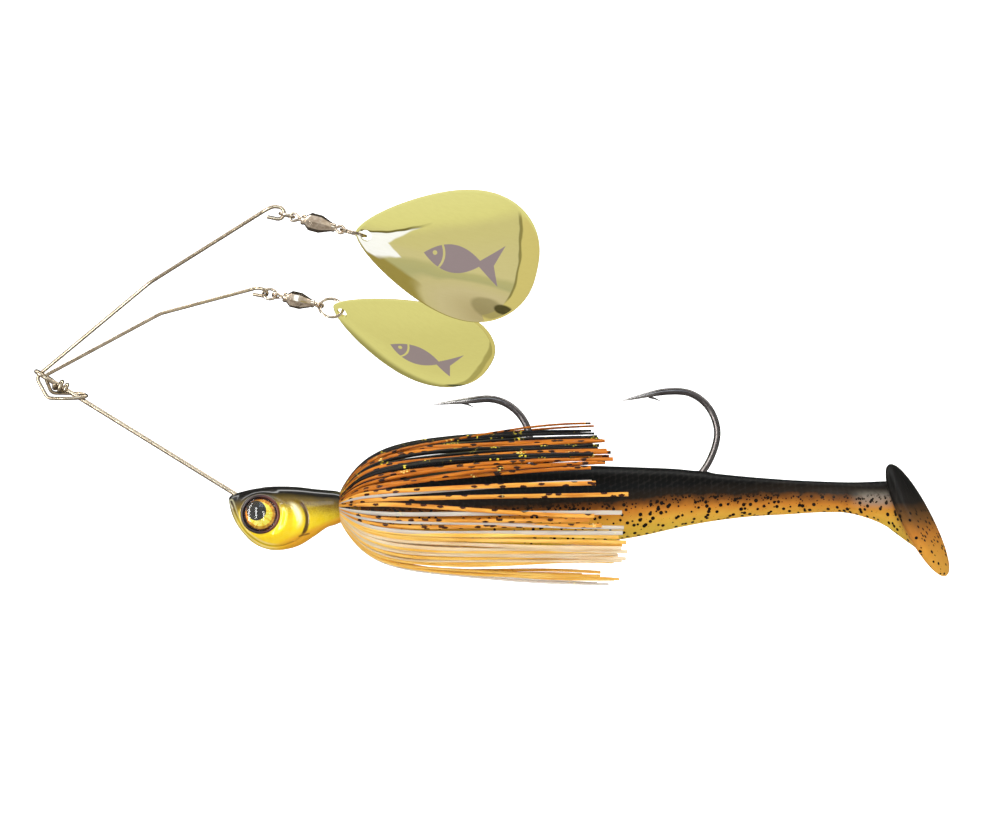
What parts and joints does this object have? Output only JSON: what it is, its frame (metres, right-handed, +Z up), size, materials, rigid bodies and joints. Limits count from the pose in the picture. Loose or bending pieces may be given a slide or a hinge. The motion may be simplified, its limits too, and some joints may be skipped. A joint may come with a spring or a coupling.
{
  "type": "spinnerbait",
  "caption": "Wire-armed fishing lure with a fish-shaped head, skirt, soft swimming tail, hooks, and dished blades that spin on ball-bearing swivels.",
  "frame": {"origin": "the outer face of the closed eye at the front end of the main wire, where the fishing line is tied", "axes": "+X along the lure from the line tie to the tail, +Z up towards the arms and the hook points, -Y the side the blades' domes face"},
  "size_m": [0.1896, 0.0654, 0.0799],
  "materials": {
    "wire_steel": "drawn stainless wire, satin",
    "swivel_nickel": "dark nickel plate, satin",
    "blade_plate": "pale gold plate, mirror polished",
    "hook_steel": "black nickel plate, glossy, with a bright ground tip",
    "head_paint": "lead with glossy yellow, gold and black paint",
    "eye_foil": "printed gold foil with a dark pupil and a red ring",
    "eye_lens": "clear epoxy dome",
    "skirt_collar": "matte",
    "skirt_black": "soft silicone with gold flecks",
    "skirt_orange": "soft silicone, orange with black flecks",
    "skirt_pale": "soft silicone, cream and clear",
    "bait_plastic": "soft plastic, black back over amber with black flecks"
  },
  "bodies": {
    "lure_frame": {"head_casting": "head_paint", "near_eye_foil": "eye_foil", "near_eye_lens": "eye_lens", "far_eye_foil": "eye_foil", "far_eye_lens": "eye_lens", "main_wire": "wire_steel", "arms_wire": "wire_steel", "main_hook": "hook_steel", "skirt_collar": "skirt_collar", "bait_front": "bait_plastic"},
    "upper_ring": {"upper_ring": "wire_steel"},
    "upper_swivel_eye": {"upper_swivel_front_eye": "swivel_nickel"},
    "upper_swivel_barrel": {"upper_swivel_barrel": "swivel_nickel", "upper_swivel_rear_eye": "swivel_nickel"},
    "upper_bearing_balls": {"upper_bearing_ball_1": "swivel_nickel", "upper_bearing_ball_2": "swivel_nickel", "upper_bearing_ball_3": "swivel_nickel", "upper_bearing_ball_4": "swivel_nickel", "upper_bearing_ball_5": "swivel_nickel"},
    "upper_split_ring": {"upper_split_ring": "wire_steel"},
    "upper_blade": {"upper_blade": "blade_plate"},
    "lower_ring": {"lower_ring": "wire_steel"},
    "lower_swivel_eye": {"lower_swivel_front_eye": "swivel_nickel"},
    "lower_swivel_barrel": {"lower_swivel_barrel": "swivel_nickel", "lower_swivel_rear_eye": "swivel_nickel"},
    "lower_bearing_balls": {"lower_bearing_ball_1": "swivel_nickel", "lower_bearing_ball_2": "swivel_nickel", "lower_bearing_ball_3": "swivel_nickel", "lower_bearing_ball_4": "swivel_nickel", "lower_bearing_ball_5": "swivel_nickel"},
    "lower_split_ring": {"lower_split_ring": "wire_steel"},
    "lower_blade": {"lower_blade": "blade_plate"},
    "bait_rear": {"bait_rear": "bait_plastic", "stinger_hook": "hook_steel"},
    "bait_tail_stem": {"bait_tail_stem": "bait_plastic"},
    "bait_paddle": {"bait_paddle": "bait_plastic"},
    "skirt_top_near": {"skirt_top_near": "skirt_black"},
    "skirt_upper_near": {"skirt_upper_near": "skirt_orange"},
    "skirt_lower_near": {"skirt_lower_near": "skirt_orange"},
    "skirt_belly_near": {"skirt_belly_near": "skirt_pale"},
    "skirt_belly_far": {"skirt_belly_far": "skirt_pale"},
    "skirt_lower_far": {"skirt_lower_far": "skirt_orange"},
    "skirt_upper_far": {"skirt_upper_far": "skirt_orange"},
    "skirt_top_far": {"skirt_top_far": "skirt_black"}
  },
  "joints": [
    {"name": "upper_ring_swing", "type": "hinge", "parent": "lure_frame", "child": "upper_ring", "pos_m": [0.05322, -0.022, 0.03118], "axis": [0, 1, 0], "range_deg": [-30, 25]},
    {"name": "upper_swivel_swing", "type": "hinge", "parent": "upper_ring", "child": "upper_swivel_eye", "pos_m": [0.05496, -0.022, 0.03072], "axis": [0.2554, 0, 0.9668], "range_deg": [-25, 25]},
    {"name": "upper_swivel_spin", "type": "hinge", "parent": "upper_swivel_eye", "child": "upper_swivel_barrel", "pos_m": [0.05791, -0.022, 0.02994], "axis": [0.9668, 0, -0.2554], "continuous": true},
    {"name": "upper_balls_orbit", "type": "hinge", "parent": "upper_swivel_eye", "child": "upper_bearing_balls", "pos_m": [0.05791, -0.022, 0.02994], "axis": [0.9668, 0, -0.2554], "continuous": true},
    {"name": "upper_split_ring_swing", "type": "hinge", "parent": "upper_swivel_barrel", "child": "upper_split_ring", "pos_m": [0.06579, -0.022, 0.02786], "axis": [0, 1, 0], "range_deg": [-30, 30]},
    {"name": "upper_blade_swing", "type": "hinge", "parent": "upper_split_ring", "child": "upper_blade", "pos_m": [0.06832, -0.022, 0.02719], "axis": [0.2554, 0, 0.9668], "range_deg": [-35, 35]},
    {"name": "lower_ring_swing", "type": "hinge", "parent": "lure_frame", "child": "lower_ring", "pos_m": [0.04553, 0.022, 0.01741], "axis": [0.1719, 0.6157, 0.769], "range_deg": [-25, 20]},
    {"name": "lower_swivel_swing", "type": "hinge", "parent": "lower_ring", "child": "lower_swivel_eye", "pos_m": [0.04729, 0.022, 0.01702], "axis": [0.1343, -0.788, 0.6008], "range_deg": [-25, 25]},
    {"name": "lower_swivel_spin", "type": "hinge", "parent": "lower_swivel_eye", "child": "lower_swivel_barrel", "pos_m": [0.05026, 0.022, 0.01636], "axis": [0.9759, 0, -0.2181], "continuous": true},
    {"name": "lower_balls_orbit", "type": "hinge", "parent": "lower_swivel_eye", "child": "lower_bearing_balls", "pos_m": [0.05026, 0.022, 0.01636], "axis": [0.9759, 0, -0.2181], "continuous": true},
    {"name": "lower_split_ring_swing", "type": "hinge", "parent": "lower_swivel_barrel", "child": "lower_split_ring", "pos_m": [0.05822, 0.022, 0.01458], "axis": [0.1719, 0.6157, 0.769], "range_deg": [-25, 25]},
    {"name": "lower_blade_swing", "type": "hinge", "parent": "lower_split_ring", "child": "lower_blade", "pos_m": [0.06077, 0.022, 0.01401], "axis": [0.1343, -0.788, 0.6008], "range_deg": [-35, 35]},
    {"name": "bait_flex", "type": "hinge", "parent": "lure_frame", "child": "bait_rear", "pos_m": [0.1024, 0, -0.0242], "axis": [0, 0, 1], "range_deg": [-10, 10]},
    {"name": "tail_wag", "type": "hinge", "parent": "bait_rear", "child": "bait_tail_stem", "pos_m": [0.15798, -0.00043, -0.0267], "axis": [0, 0, 1], "range_deg": [-10, 30]},
    {"name": "paddle_flex", "type": "hinge", "parent": "bait_tail_stem", "child": "bait_paddle", "pos_m": [0.17341, -0.00597, -0.027], "axis": [0, 0, 1], "range_deg": [-10, 30]},
    {"name": "skirt_top_near_flare", "type": "hinge", "parent": "lure_frame", "child": "skirt_top_near", "pos_m": [0.0652, -0.00153, -0.0249], "axis": [0, -0.9239, -0.3827], "range_deg": [0, 10]},
    {"name": "skirt_upper_near_flare", "type": "hinge", "parent": "lure_frame", "child": "skirt_upper_near", "pos_m": [0.0652, -0.0037, -0.02707], "axis": [0, -0.3827, -0.9239], "range_deg": [0, 10]},
    {"name": "skirt_lower_near_flare", "type": "hinge", "parent": "lure_frame", "child": "skirt_lower_near", "pos_m": [0.0652, -0.0037, -0.03013], "axis": [0, 0.3827, -0.9239], "range_deg": [0, 10]},
    {"name": "skirt_belly_near_flare", "type": "hinge", "parent": "lure_frame", "child": "skirt_belly_near", "pos_m": [0.0652, -0.00153, -0.0323], "axis": [0, 0.9239, -0.3827], "range_deg": [0, 10]},
    {"name": "skirt_belly_far_flare", "type": "hinge", "parent": "lure_frame", "child": "skirt_belly_far", "pos_m": [0.0652, 0.00153, -0.0323], "axis": [0, 0.9239, 0.3827], "range_deg": [0, 10]},
    {"name": "skirt_lower_far_flare", "type": "hinge", "parent": "lure_frame", "child": "skirt_lower_far", "pos_m": [0.0652, 0.0037, -0.03013], "axis": [0, 0.3827, 0.9239], "range_deg": [0, 10]},
    {"name": "skirt_upper_far_flare", "type": "hinge", "parent": "lure_frame", "child": "skirt_upper_far", "pos_m": [0.0652, 0.0037, -0.02707], "axis": [0, -0.3827, 0.9239], "range_deg": [0, 10]},
    {"name": "skirt_top_far_flare", "type": "hinge", "parent": "lure_frame", "child": "skirt_top_far", "pos_m": [0.0652, 0.00153, -0.0249], "axis": [0, -0.9239, 0.3827], "range_deg": [0, 10]}
  ],
  "couplings": [
    {"joint": "upper_balls_orbit", "follows": "upper_swivel_spin", "ratio": 0.7},
    {"joint": "lower_balls_orbit", "follows": "lower_swivel_spin", "ratio": 0.7},
    {"joint": "paddle_flex", "follows": "tail_wag", "ratio": 0.9},
    {"joint": "skirt_upper_near_flare", "follows": "skirt_top_near_flare", "ratio": 1},
    {"joint": "skirt_lower_near_flare", "follows": "skirt_top_near_flare", "ratio": 1},
    {"joint": "skirt_belly_near_flare", "follows": "skirt_top_near_flare", "ratio": 1},
    {"joint": "skirt_belly_far_flare", "follows": "skirt_top_near_flare", "ratio": 1},
    {"joint": "skirt_lower_far_flare", "follows": "skirt_top_near_flare", "ratio": 1},
    {"joint": "skirt_upper_far_flare", "follows": "skirt_top_near_flare", "ratio": 1},
    {"joint": "skirt_top_far_flare", "follows": "skirt_top_near_flare", "ratio": 1}
  ]
}
